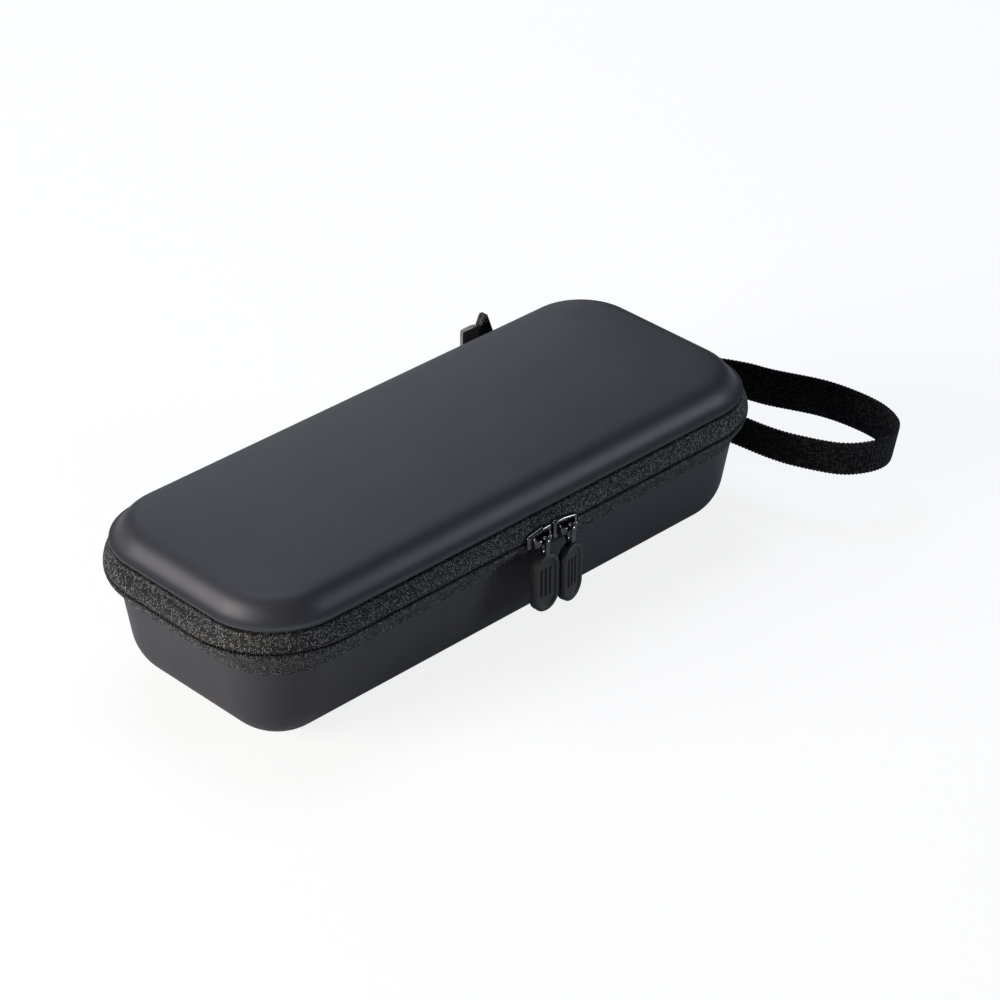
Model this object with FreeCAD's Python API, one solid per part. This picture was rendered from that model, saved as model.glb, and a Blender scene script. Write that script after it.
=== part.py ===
import FreeCAD, Part
import math
import os

# Zip-around instrument case in millimetres. The origin is the middle of the flat underside, +Z is up,
# +X points to the end with the hand strap and -Y to the long side where the zip sliders meet.

# The zip rim, the widest firm edge of the case
rim_length = 244.0
rim_width = 98.4
rim_corner = 27.5
zip_height = 45.6          # the zip line above the underside

# Moulded foam shells
shell_wall = 4.0
base_inset = 2.5           # the base's wall at its edge, inside the rim
base_draft = 9.0           # degrees that the base's wall leans in towards the underside
base_drop = 4.6            # the base's edge under the zip line
base_rounding = 20.0       # between the base's wall and its underside
lid_inset = 4.6            # the lid's wall inside the rim
lid_rise = 3.3             # lower edge of the lid's wall above the zip line
flare_inset = 0.3          # foot of the lid's shoulder inside the rim
flare_rise = 8.5           # and above the zip line
flare_radius = 5.2         # hollow curve at the shoulder's foot
flare_slope = 15.0         # degrees off level at the foot
shoulder_lean = 15.0       # degrees off upright where the hollow curve meets the round one
shoulder_radius = 4.0
shoulder_sweep = 82.0      # degrees of the shoulder before the crown takes over
inner_round = 2.5          # the same edge inside the lid
crown_flat = 4.6           # half the width of the level strip along the top
crown_steps = 4
least_corner = 1.0         # corners of the underside and of the crown
brim_thick = 1.2           # edge of the shoulder's foot, over the tape's lip

# Linings, bindings and foam
laminate_gap = 0.05
lining_thick = 0.6
lining_drop = 11.3         # edges of the linings under and above the zip line
lining_rise = 6.9
binding_thick = 0.8
binding_gap = 0.2
foam_gap = 0.3
foam_drop = 10.3           # top of the foam under the zip line, and the pad's underside above it
pad_rise = 6.2

# Recesses in the foam, as the middle, length, width, corner radius and floor height of each
handle_recess = (-25.0, -18.5, 148.0, 29.0, 14.4, 14.0)
head_recess = (77.0, -17.5, 42.0, 31.0, 15.4, 14.0)
second_head_recess = (-64.0, 18.5, 70.0, 29.0, 12.0, 14.0)
tip_recess = (11.0, 18.5, 66.0, 29.0, 8.0, 18.0)
spare_recess = (75.0, 20.0, 46.0, 26.0, 8.0, 18.0)

# Zip tape: it swells outwards between the corners
zip_gap = 1.2
zip_flat = 1.3             # upright strip of tape beside the zip line
bulge_side = 2.9
bulge_end = 2.6
bulge_corner = 8.0         # extra corner radius at the zip line
bulge_half_way = 0.7       # share of the swelling that the upper tape has half way down
tape_thick = 0.9
tape_lip = 4.0
tape_lip_gap = 0.2
tape_drop = 11.3           # lower edge of the tape under the zip line
tape_hug = 3.0             # height over which the lower tape lies on the wall
tape_edge = 0.2
coil_radius = 1.15
coil_set_back = 2.9
coil_clear = 0.1
coil_sides = 8

# Rear hinge strip and the end of the zip beside it
hinge_half = 66.0
hinge_gap = 0.3
clamp_length = 8.0
clamp_depth = 2.6
clamp_height = 8.0
clamp_corner = 1.1
tail_length = 10.0
tail_depth = 3.4
tail_height = 10.0
tail_peak = 3.0            # where the tail's top starts and how long it is
tail_crest = 2.0
tail_left_height = 5.0
tail_right_x = 7.0
tail_right_height = 5.5
rear_stand = 0.3           # clamp and tail stand off the tape by this
rear_lift = 0.9            # and this far above the tape's edge, to clear the base when the lid is open

# Sliders, pulls and grips
slider_meet = 4.0          # where the two sliders meet along the front
slider_length = 11.8
slider_spread = 0.6
slider_wide = 8.0
slider_tail = 5.4
slider_plate = 1.2
slider_neck = 1.2          # from the slider's middle to the start of its taper
slider_clear = 0.4
slider_round = 0.8
post_length = 3.6
post_inset = 0.8
post_clear = 0.3
inner_plate_height = 6.8
bridge_span = 7.4
bridge_foot = 1.4
bridge_width = 2.0
bar_radius = 0.75
bar_reach = 2.0            # from the outer plate's face to the bar's middle
link_clear = 0.3
link_wall = 0.65
link_drop = 4.1
link_thick = 1.8
tang_width = 5.0
tang_thick = 1.2
tang_length = 8.5
grip_top_drop = 4.7        # from the bar's middle to the top of the grip
grip_length = 24.0
grip_width = 12.0
grip_thick = 3.4
grip_edge = 0.7
grip_border = 1.9
grip_recess_depth = 0.5
grip_rib_count = 3
grip_rib_width = 1.2
grip_rib_length = 11.0

# Hand strap and the patch that carries it
webbing_width = 15.0
webbing_thick = 1.5
strap_drop = 0.4           # top of the webbing under the tape
strap_root_y = 12.0
strap_root_round = 0.9
strap_root_gap = 0.3
strap_near_tip = (16.0, -92.0)       # corners of its route, out from the end wall and along Y from its root
strap_far_tip = (56.5, -91.0)
strap_far_bend = (48.5, -24.0)
strap_tip_round = 18.0
strap_bend_round = 40.0
anchor_thick = 1.2
anchor_front = 14.0        # how far the patch runs to the front and rear of the strap's root
anchor_rear = 6.0
anchor_round = 2.0

# Values worked out from the sizes above
base_top = zip_height - base_drop
draft = math.radians(base_draft)
lid_grow = -lid_inset
lid_foot = zip_height + lid_rise
flare_foot = zip_height + flare_rise
brim_foot = flare_foot - brim_thick
rim_top = brim_foot - tape_lip_gap
lining_base_top = zip_height - lining_drop
lining_lid_foot = zip_height + lining_rise
foam_top = zip_height - foam_drop
pad_foot = zip_height + pad_rise
tape_foot = zip_height - tape_drop
strap_low = tape_foot - strap_drop - webbing_width
zip_low = zip_height - zip_gap / 2
zip_high = zip_height + zip_gap / 2
front_zip = rim_width / 2 + bulge_side

# Making allowances
least_straight = 0.5       # between two rounded corners
cut_over = 1.0             # how far a cutting block stands past the face it opens
tolerance = 0.001

os.makedirs("parts", exist_ok=True)
vec = FreeCAD.Vector
up = vec(0, 0, 1)


def rounded_rectangle(half_x, half_y, corner, z, middle_x=0.0, middle_y=0.0):
    """Closed wire of four lines and four arcs, always started at the same corner."""
    corner = min(corner, half_x - least_straight, half_y - least_straight)
    flat_x = half_x - corner
    flat_y = half_y - corner
    edges = []
    for quarter in range(4):
        start_angle = math.radians(90 * quarter)
        sign_x = 1 if quarter in (0, 3) else -1
        sign_y = 1 if quarter in (0, 1) else -1
        heart = vec(middle_x + sign_x * flat_x, middle_y + sign_y * flat_y, z)
        rim = [heart + vec(math.cos(start_angle + turn), math.sin(start_angle + turn), 0) * corner
               for turn in (0, math.pi / 4, math.pi / 2)]
        edges.append((rim[0], Part.Arc(*rim).toShape(), rim[2]))
    chain = []
    for here, after in zip(edges, edges[1:] + edges[:1]):
        chain.append(here[1])
        chain.append(Part.makeLine(here[2], after[0]))
    return Part.Wire(chain)


def level(grow, swell, z):
    """Outline of the case, grown from the rim and swollen out towards the zip line by a share."""
    return rounded_rectangle(
        rim_length / 2 + grow + bulge_end * swell,
        rim_width / 2 + grow + bulge_side * swell,
        max(rim_corner + grow + bulge_corner * swell, least_corner),
        z)


def sewn(faces):
    """One closed solid from faces that meet edge to edge."""
    skin = Part.makeCompound(faces)
    skin.sewShape(tolerance)
    solid = Part.makeSolid(skin.Shells[0])
    if solid.Volume < 0:
        solid.reverse()
    return solid


def ruled(wires):
    """Straight bands between one outline and the next, flat ones where both lie at one height."""
    faces = []
    for first, second in zip(wires, wires[1:]):
        if abs(first.BoundBox.ZMin - second.BoundBox.ZMin) < tolerance:
            faces.append(Part.makeFace([first, second], "Part::FaceMakerBullseye"))
        else:
            faces += Part.makeLoft([first, second], False, True).Faces
    return faces


def ring(profile):
    """Closed band round the case whose section is a polygon of (grow, swell, z) points."""
    wires = [level(*point) for point in profile]
    return sewn(ruled(wires + wires[:1]))


def swept_arc(centre, radius, first, last):
    """Faces left by an upright arc carried round the case. centre is (grow, z), angles start outwards."""
    flat_x = rim_length / 2 - rim_corner
    flat_y = rim_width / 2 - rim_corner
    signs = ((1, 1), (-1, 1), (-1, -1), (1, -1))
    hearts = [vec(sign_x * flat_x, sign_y * flat_y, 0) for sign_x, sign_y in signs]

    def upright(heart, direction):
        points = []
        for angle in (first, (first + last) / 2, last):
            reach = rim_corner + centre[0] + radius * math.cos(angle)
            points.append(heart + direction * reach + up * (centre[1] + radius * math.sin(angle)))
        return Part.Arc(*points).toShape()

    faces = []
    for quarter, heart in enumerate(hearts):
        turn = math.radians(90 * quarter)
        start = vec(math.cos(turn), math.sin(turn), 0)
        finish = vec(-math.sin(turn), math.cos(turn), 0)
        faces.append(upright(heart, start).revolve(heart, up, 90))
        faces.append(upright(heart, finish).extrude(hearts[(quarter + 1) % 4] - heart))
    return faces


def base_wall(depth, z):
    """How far the base's leaning wall is grown from the rim, at a depth under its outer face and a height."""
    return -base_inset - (base_top - z) * math.tan(draft) - depth / math.cos(draft)


def base_skin(depth):
    """Rounding of the base at a depth under its outer face, with its floor and wall outlines."""
    room = (rim_corner - base_inset - least_corner) * math.cos(draft) - base_top * math.sin(draft)
    rounding = min(base_rounding, room / (1 - math.sin(draft)))
    reach = (rounding + (base_top - rounding) * math.sin(draft)) / math.cos(draft)
    heart = (-base_inset - reach, rounding)
    radius = rounding - depth
    faces = swept_arc(heart, radius, -math.pi / 2, -draft)
    high = rounding - radius * math.sin(draft)
    return faces, level(heart[0], 0, depth), level(base_wall(depth, high), 0, high)


def crown(edge_grow, edge_height):
    """Top of the lid from the shoulder's edge to the level strip, with the outline of that strip."""
    run = rim_width / 2 + edge_grow - crown_flat
    slope = math.tan(math.radians(90 - shoulder_sweep))
    outlines = []
    for step in range(crown_steps + 1):
        share = step / crown_steps
        rise = slope * run * share * (1 - share / 2)
        outlines.append(level(edge_grow - run * share, 0, edge_height + rise))
    return ruled(outlines), outlines[-1]


def shoulder():
    """Heart (grow, z) of the round part of the lid's shoulder and of the hollow curve at its foot."""
    foot = math.radians(270 - flare_slope)
    lean = math.radians(180 + shoulder_lean)
    hollow = (-flare_inset - flare_radius * math.cos(foot), flare_foot - flare_radius * math.sin(foot))
    reach = shoulder_radius + flare_radius
    return (hollow[0] + reach * math.cos(lean), hollow[1] + reach * math.sin(lean)), hollow


def lid_outside():
    """Outer face of the lid, with the outline at the foot of its shoulder and the one on top."""
    heart, hollow = shoulder()
    last = math.radians(shoulder_sweep)
    lean = math.radians(shoulder_lean)
    faces = swept_arc(hollow, flare_radius, math.pi + lean, math.radians(270 - flare_slope))
    faces += swept_arc(heart, shoulder_radius, lean, last)
    edge_grow = heart[0] + shoulder_radius * math.cos(last)
    top, strip = crown(edge_grow, heart[1] + shoulder_radius * math.sin(last))
    return faces + top, level(-flare_inset, 0, flare_foot), strip


def lid_inside(depth):
    """Face inside the lid at a depth under its outer one, with its wall and top outlines."""
    last = math.radians(shoulder_sweep)
    radius = inner_round + shell_wall - depth
    edge = shoulder()[0][1] + shoulder_radius * math.sin(last) - depth
    heart = (lid_grow - shell_wall - inner_round, edge - radius * math.sin(last))
    top, strip = crown(heart[0] + radius * math.cos(last), edge)
    faces = swept_arc(heart, radius, 0, last)
    return faces + top, level(lid_grow - depth, 0, heart[1]), strip


def base_layer(outer_depth, inner_depth, top):
    """Tray between two depths under the base's outer face, open at the top."""
    outer, outer_floor, outer_wall = base_skin(outer_depth)
    inner, inner_floor, inner_wall = base_skin(inner_depth)
    rim = [level(base_wall(outer_depth, top), 0, top), level(base_wall(inner_depth, top), 0, top)]
    walls = ruled([outer_wall] + rim + [inner_wall])
    return sewn(outer + inner + [Part.Face(outer_floor), Part.Face(inner_floor)] + walls)


def lid_layer(outer, inner, edge):
    """Shallow cover between two faces, each with its outlines, and the outlines round its edge."""
    walls = ruled([outer[1]] + [level(*point) for point in edge] + [inner[1]])
    return sewn(outer[0] + inner[0] + [Part.Face(outer[2]), Part.Face(inner[2])] + walls)


def box(low, high):
    return Part.makeBox(high[0] - low[0], high[1] - low[1], high[2] - low[2], vec(*low))


def running(shape, way):
    """Straight edges of a solid that run along a direction."""
    found = []
    for edge in shape.Edges:
        chord = edge.Vertexes[-1].Point - edge.Vertexes[0].Point
        if abs(abs(chord.dot(way)) - edge.Length) < tolerance:
            found.append(edge)
    return found


def write(shape, name):
    if not shape.isValid():
        raise ValueError(name + " is not a valid solid")
    shape.exportStep("parts/" + name + ".step")
    print(name, len(shape.Solids), round(shape.Volume, 1))


def shells():
    lining = shell_wall + laminate_gap
    lined = lining + lining_thick
    write(base_layer(0, shell_wall, base_top), "base_shell")
    write(base_layer(lining, lined, lining_base_top), "base_lining")
    edge = [
        (-flare_inset, 0, brim_foot),
        (lid_grow, 0, brim_foot),
        (lid_grow, 0, lid_foot),
        (lid_grow - shell_wall, 0, lid_foot),
    ]
    write(lid_layer(lid_outside(), lid_inside(shell_wall), edge), "lid_shell")
    edge = [(lid_grow - lining, 0, lining_lid_foot), (lid_grow - lined, 0, lining_lid_foot)]
    write(lid_layer(lid_inside(lining), lid_inside(lined), edge), "lid_lining")


def recess(middle_x, middle_y, length, width, corner, floor):
    outline = rounded_rectangle(length / 2, width / 2, corner, floor, middle_x, middle_y)
    return Part.Face(outline).extrude(up * (foam_top - floor + cut_over))


def foams():
    depth = shell_wall + laminate_gap + lining_thick + foam_gap
    skin, floor, wall = base_skin(depth)
    top = level(base_wall(depth, foam_top), 0, foam_top)
    block = sewn(skin + [Part.Face(floor), Part.Face(top)] + ruled([wall, top]))
    for place in (handle_recess, head_recess, second_head_recess, tip_recess, spare_recess):
        block = block.cut(recess(*place))
    write(block, "foam_insert")
    skin, wall, top = lid_inside(depth)
    foot = level(lid_grow - depth, 0, pad_foot)
    write(sewn(skin + [Part.Face(top), Part.Face(foot)] + ruled([wall, foot])), "lid_pad")


def bindings():
    depth = shell_wall + laminate_gap
    cover = base_top + laminate_gap
    foot = lining_base_top + binding_gap
    outside = -base_inset - laminate_gap * 2
    write(ring([
        (outside, 0, cover),
        (outside, 0, cover + binding_thick),
        (base_wall(depth, cover) - binding_thick, 0, cover + binding_thick),
        (base_wall(depth, foot) - binding_thick, 0, foot),
        (base_wall(depth, foot), 0, foot),
        (base_wall(depth, cover), 0, cover),
    ]), "base_binding")
    inside = lid_grow - depth
    face = inside - binding_thick
    outside = lid_grow - laminate_gap * 2
    cover = lid_foot - laminate_gap
    write(ring([
        (outside, 0, cover),
        (inside, 0, cover),
        (inside, 0, lining_lid_foot - binding_gap),
        (face, 0, lining_lid_foot - binding_gap),
        (face, 0, cover - binding_thick),
        (outside, 0, cover - binding_thick),
    ]), "lid_binding")


def tape_bands():
    """The two woven bands, each a full ring before the hinge is cut out of it."""
    rim_round = tape_thick
    rim_cut = rim_round * (1 - math.sqrt(0.5))
    half_way = (rim_top - rim_round + zip_high + zip_flat) / 2
    upper = ring([
        (-tape_lip, 0, rim_top),
        (-rim_round, 0, rim_top),
        (-rim_cut, 0, rim_top - rim_cut),
        (0, 0, rim_top - rim_round),
        (0, bulge_half_way, half_way),
        (0, 1, zip_high + zip_flat),
        (0, 1, zip_high),
        (-tape_thick, 1, zip_high),
        (-tape_thick, 1, zip_high + zip_flat),
        (-tape_thick, bulge_half_way, half_way),
        (-tape_thick, 0, rim_top - tape_thick),
        (-tape_lip, 0, rim_top - tape_thick),
    ])
    low_seat = base_wall(-laminate_gap, tape_foot)
    high_seat = base_wall(-laminate_gap, tape_foot + tape_hug)
    lower = ring([
        (0, 1, zip_low),
        (0, 1, zip_low - zip_flat),
        (high_seat + tape_thick, 0, tape_foot + tape_hug),
        (low_seat + tape_edge, 0, tape_foot),
        (low_seat, 0, tape_foot),
        (high_seat, 0, tape_foot + tape_hug),
        (-tape_thick, 1, zip_low - zip_flat),
        (-tape_thick, 1, zip_low),
    ])
    return upper, lower


def coil(height):
    profile = []
    for side in range(coil_sides):
        angle = 2 * math.pi * (side + 0.5) / coil_sides
        profile.append((coil_radius * math.cos(angle) - coil_set_back, 1,
                        height + coil_radius * math.sin(angle)))
    return ring(profile)


def zip_and_hinge():
    """The hinge strip takes the place of the zip along the middle of the rear."""
    upper, lower = tape_bands()
    reach = rim_width
    strip = box((-hinge_half, 0, 0), (hinge_half, reach, reach))
    wide = hinge_half + hinge_gap
    opening = box((-wide, 0, 0), (wide, reach, reach))
    write(upper.cut(opening), "zip_tape_upper")
    write(lower.cut(opening), "zip_tape_lower")
    write(upper.common(strip), "hinge_strip_upper")
    write(lower.common(strip), "hinge_strip_lower")
    write(coil(zip_high + coil_radius + coil_clear).cut(opening), "zip_coil_upper")
    write(coil(zip_low - coil_radius - coil_clear).cut(opening), "zip_coil_lower")


def zip_end():
    """The folded clamp on the end of the zip and the woven tail that comes out of it, on the lid's side."""
    clamp_start = hinge_half - clamp_length / 2
    face = front_zip + rear_stand
    foot = zip_high + rear_lift
    clamp = box((clamp_start, face, foot),
                (clamp_start + clamp_length, face + clamp_depth, foot + clamp_height))
    write(clamp.makeFillet(clamp_corner, running(clamp, vec(0, 1, 0))), "zip_end_clamp")
    start = clamp_start + clamp_length + rear_stand
    left = vec(start, face, foot)
    tall = [vec(0, 0, 0), vec(tail_length, 0, 0), vec(tail_right_x, 0, tail_right_height),
            vec(tail_peak + tail_crest, 0, tail_height), vec(tail_peak, 0, tail_height),
            vec(0, 0, tail_left_height)]
    wedge = Part.Face(Part.makePolygon([left + point for point in tall] + [left]))
    write(wedge.extrude(vec(0, tail_depth, 0)), "zip_end_tail")


def plate(outline, low_y, high_y):
    """Flat plate from an outline in X and Z, between two depths."""
    points = [vec(x, low_y, z) for x, z in outline]
    slab = Part.Face(Part.makePolygon(points + points[:1])).extrude(vec(0, high_y - low_y, 0))
    return slab.makeFillet(slider_round, running(slab, vec(0, 1, 0)))


def slider(side, word):
    """One slider with its wide end towards the other one. side is -1 on the left and +1 on the right."""
    middle = slider_meet + side * (slider_length + slider_spread) / 2
    mouth = middle - side * slider_length / 2
    tail = middle + side * slider_length / 2
    neck = middle - side * slider_neck
    half_wide = slider_wide / 2
    half_tail = slider_tail / 2

    def shield(half_mouth):
        return [(mouth, zip_height + half_mouth), (neck, zip_height + half_mouth),
                (tail, zip_height + half_tail), (tail, zip_height - half_tail),
                (neck, zip_height - half_mouth), (mouth, zip_height - half_mouth)]

    outer_back = -(front_zip + slider_clear)
    outer_face = outer_back - slider_plate
    inner_face = -(front_zip - coil_set_back - coil_radius - slider_clear)
    outer = plate(shield(half_wide), outer_face, outer_back)
    inner = plate(shield(inner_plate_height / 2), inner_face, inner_face + slider_plate)
    half_post = zip_gap / 2 - post_clear
    post_start = min(mouth + side * post_inset, mouth + side * (post_inset + post_length))
    post = box((post_start, outer_back, zip_height - half_post),
               (post_start + post_length, inner_face, zip_height + half_post))
    write(outer.fuse([inner, post]).removeSplitter(), word + "_slider_body")

    bar_y = outer_face - bar_reach
    bar_start = vec(middle - bridge_span / 2, bar_y, zip_height)
    crown = Part.makeCylinder(bar_radius, bridge_span, bar_start, vec(1, 0, 0))
    for end in (-1, 1):
        inside = middle + end * (bridge_span / 2 - bridge_foot)
        outside = middle + end * bridge_span / 2
        crown = crown.fuse(box((min(inside, outside), bar_y, zip_height - bridge_width / 2),
                               (max(inside, outside), outer_face, zip_height + bridge_width / 2)))
    write(crown.removeSplitter(), word + "_slider_crown")
    pull(middle, bar_y, word)


def stadium(middle_x, middle_z, half_width, top, bottom, low_y, high_y):
    """Plate with round ends, standing across Y."""
    outline = rounded_rectangle(half_width, (top - bottom) / 2, half_width, 0)
    face = Part.Face(outline)
    face.rotate(vec(0, 0, 0), vec(1, 0, 0), 90)
    face.translate(vec(middle_x, high_y, middle_z))
    return face.extrude(vec(0, low_y - high_y, 0))


def pull(middle, bar_y, word):
    """Link that hangs from the bridge's bar, with a rubber grip moulded over its tang."""
    hole = bar_radius + link_clear
    outside = hole + link_wall
    lowest = zip_height - link_drop
    left = middle - link_thick / 2

    def loop(radius):
        top_arc = Part.Arc(vec(left, bar_y - radius, zip_height), vec(left, bar_y, zip_height + radius),
                           vec(left, bar_y + radius, zip_height)).toShape()
        low_arc = Part.Arc(vec(left, bar_y + radius, lowest), vec(left, bar_y, lowest - radius),
                           vec(left, bar_y - radius, lowest)).toShape()
        sides = [Part.makeLine(vec(left, bar_y + radius, zip_height), vec(left, bar_y + radius, lowest)),
                 Part.makeLine(vec(left, bar_y - radius, lowest), vec(left, bar_y - radius, zip_height))]
        return Part.Face(Part.Wire([top_arc, sides[0], low_arc, sides[1]])).extrude(vec(link_thick, 0, 0))

    eye = loop(outside).cut(loop(hole))
    tang_top = lowest - hole - link_wall / 2
    tang = box((middle - tang_width / 2, bar_y - tang_thick / 2, tang_top - tang_length),
               (middle + tang_width / 2, bar_y + tang_thick / 2, tang_top))
    link = eye.fuse(tang).removeSplitter()
    write(link, word + "_pull_link")

    top = zip_height - grip_top_drop
    bottom = top - grip_length
    heart = (top + bottom) / 2
    half = grip_width / 2
    face = bar_y - grip_thick / 2
    back = bar_y + grip_thick / 2
    body = stadium(middle, heart, half, top, bottom, face, back)
    body = body.makeFillet(grip_edge, [edge for edge in body.Edges if edge.BoundBox.YLength < tolerance])
    inner = half - grip_border
    for low_y, high_y in ((face - cut_over, face + grip_recess_depth),
                          (back - grip_recess_depth, back + cut_over)):
        body = body.cut(stadium(middle, heart, inner, top - grip_border, bottom + grip_border,
                                low_y, high_y))
    pitch = 2 * inner / (grip_rib_count + 1)
    for rib in range(grip_rib_count):
        rib_x = middle - inner + pitch * (rib + 1)
        bead = stadium(rib_x, heart, grip_rib_width / 2, heart + grip_rib_length / 2,
                       heart - grip_rib_length / 2, face, back)
        body = body.fuse(bead)
    write(body.removeSplitter().cut(link), word + "_pull_grip")


def shifted(points, step):
    """Corners of a convex polygon, in turning order, after its sides move outwards by a step."""
    count = len(points)
    lines = []
    for here, after in zip(points, points[1:] + points[:1]):
        along = (after - here).normalize()
        outward = vec(along.y, -along.x, 0)
        lines.append((here + outward * step, along))
    corners = []
    for index in range(count):
        first, way = lines[index - 1]
        second, turn = lines[index]
        gap = second - first
        reach = (gap.x * turn.y - gap.y * turn.x) / (way.x * turn.y - way.y * turn.x)
        corners.append(first + way * reach)
    return corners


def rounded_polygon(points, radii):
    """Closed wire with an arc of its own radius at each corner."""
    arcs = []
    count = len(points)
    for index in range(count):
        corner = points[index]
        back = (points[index - 1] - corner).normalize()
        ahead = (points[(index + 1) % count] - corner).normalize()
        half = back.getAngle(ahead) / 2
        radius = radii[index]
        start = corner + back * (radius / math.tan(half))
        finish = corner + ahead * (radius / math.tan(half))
        heart = corner + (back + ahead).normalize() * (radius / math.sin(half))
        middle = heart + (corner - heart).normalize() * radius
        arcs.append((start, Part.Arc(start, middle, finish).toShape(), finish))
    chain = []
    for here, after in zip(arcs, arcs[1:] + arcs[:1]):
        chain.append(here[1])
        chain.append(Part.makeLine(here[2], after[0]))
    return Part.Wire(chain)


def strap():
    """Loop of webbing on edge, sewn to a patch on the end wall and lying forwards past the corner."""
    high = tape_foot - laminate_gap * 2
    wall = rim_length / 2 + base_wall(-laminate_gap, high)
    patch = box((wall, strap_root_y - anchor_front, strap_low),
                (wall + anchor_thick, strap_root_y + anchor_rear, high))
    patch = patch.makeFillet(anchor_round, running(patch, vec(1, 0, 0)))
    patch.rotate(vec(wall, 0, high), vec(0, 1, 0), base_draft)
    write(patch, "strap_anchor")
    half = webbing_thick / 2
    radii = [strap_root_round, strap_tip_round, strap_tip_round, strap_bend_round]

    def outline(root_x, step):
        route = [vec(root_x, strap_root_y, strap_low)]
        for out, along in (strap_near_tip, strap_far_tip, strap_far_bend):
            route.append(vec(wall + out, strap_root_y + along, strap_low))
        return rounded_polygon(shifted(route, step), [radius + step for radius in radii])

    seat = wall + anchor_thick + strap_root_gap
    root_x = 2 * seat - outline(seat, half).BoundBox.XMin
    section = Part.Face(outline(root_x, half)).cut(Part.Face(outline(root_x, -half)))
    write(section.extrude(up * webbing_width).Solids[0], "wrist_strap")


shells()
foams()
bindings()
zip_and_hinge()
zip_end()
slider(-1, "left")
slider(1, "right")
strap()
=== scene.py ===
import bpy
import bmesh
import math
from mathutils import Matrix, Quaternion, Vector


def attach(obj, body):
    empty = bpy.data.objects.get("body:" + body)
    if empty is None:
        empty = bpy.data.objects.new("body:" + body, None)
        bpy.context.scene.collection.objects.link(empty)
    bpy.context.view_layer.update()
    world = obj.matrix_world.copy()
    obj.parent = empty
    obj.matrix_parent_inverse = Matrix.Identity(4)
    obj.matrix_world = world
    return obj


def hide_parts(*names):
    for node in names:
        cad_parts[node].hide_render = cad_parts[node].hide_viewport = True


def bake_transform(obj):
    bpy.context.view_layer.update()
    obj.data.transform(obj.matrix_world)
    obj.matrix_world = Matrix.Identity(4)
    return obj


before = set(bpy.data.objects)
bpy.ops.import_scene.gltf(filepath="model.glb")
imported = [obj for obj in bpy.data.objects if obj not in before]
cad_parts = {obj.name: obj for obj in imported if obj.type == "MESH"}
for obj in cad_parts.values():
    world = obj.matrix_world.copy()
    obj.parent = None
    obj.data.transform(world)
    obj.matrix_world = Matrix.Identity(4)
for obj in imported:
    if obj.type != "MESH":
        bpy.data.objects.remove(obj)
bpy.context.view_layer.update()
mm = 0.001
print("case frame loaded")

# shared outline of the case, in millimetres
case = {
    "halfLength": 122.0, "halfWidth": 49.2, "corner": 27.5,
    "bulgeEnd": 4.2, "bulgeSide": 2.9, "bulgeCorner": 8.0,
    "zipHeight": 45.6, "rimTop": 51.95, "hingeHalf": 66.0, "hingeGap": 0.3,
    "cornerSteps": 26, "longSteps": 64, "endSteps": 18, "rearSteps": 16,
}


def caseOutline(grow, swell, gap=None):  # starts and ends at the rear, runs round by the strap's end
    halfX = case["halfLength"] + grow + case["bulgeEnd"] * swell
    halfY = case["halfWidth"] + grow + case["bulgeSide"] * swell
    corner = max(case["corner"] + grow + case["bulgeCorner"] * swell, 1.0)
    flatX, flatY = halfX - corner, halfY - corner
    start = gap if gap else 0.0
    points = []

    def run(a, b, steps):
        for k in range(steps):
            points.append((a[0] + (b[0] - a[0]) * k / steps, a[1] + (b[1] - a[1]) * k / steps))

    def turn(heartX, heartY, first):
        for k in range(case["cornerSteps"]):
            angle = math.radians(first - 90 * k / case["cornerSteps"])
            points.append((heartX + corner * math.cos(angle), heartY + corner * math.sin(angle)))

    run((start, halfY), (flatX, halfY), case["rearSteps"])
    turn(flatX, flatY, 90)
    run((halfX, flatY), (halfX, -flatY), case["endSteps"])
    turn(flatX, -flatY, 0)
    run((flatX, -halfY), (-flatX, -halfY), case["longSteps"])
    turn(-flatX, -flatY, -90)
    run((-halfX, -flatY), (-halfX, flatY), case["endSteps"])
    turn(-flatX, flatY, -180)
    run((-flatX, halfY), (-start, halfY), case["rearSteps"])
    if gap:
        points.append((-start, halfY))
    return points


def caseRow(grow, swell, z, gap=None):
    return [Vector((x, y, z)) for x, y in caseOutline(grow, swell, gap)]


def flatRows(profile):  # one ring round the case for each (grow, z)
    return [caseRow(grow, 0, z) for grow, z in profile]


def arcProfile(centre, radius, first, last, steps):  # (grow, z) points of an upright arc, angles in degrees
    angles = [math.radians(first + (last - first) * k / steps) for k in range(steps + 1)]
    return [(centre[0] + radius * math.cos(a), centre[1] + radius * math.sin(a)) for a in angles]


def roundAngles(count):
    return [2 * math.pi * k / count for k in range(count)]


def signedPower(value, power):
    return math.copysign(abs(value) ** power, value)


def linkShape(name, shape):
    mesh = bpy.data.meshes.new(name)
    shape.to_mesh(mesh)
    shape.free()
    piece = bpy.data.objects.new(name, mesh)
    bpy.context.scene.collection.objects.link(piece)
    return piece


def smoothShape(shape):  # also brings millimetres to metres
    bmesh.ops.recalc_face_normals(shape, faces=shape.faces)
    for face in shape.faces:
        face.smooth = True
    shape.transform(Matrix.Scale(mm, 4))


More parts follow.
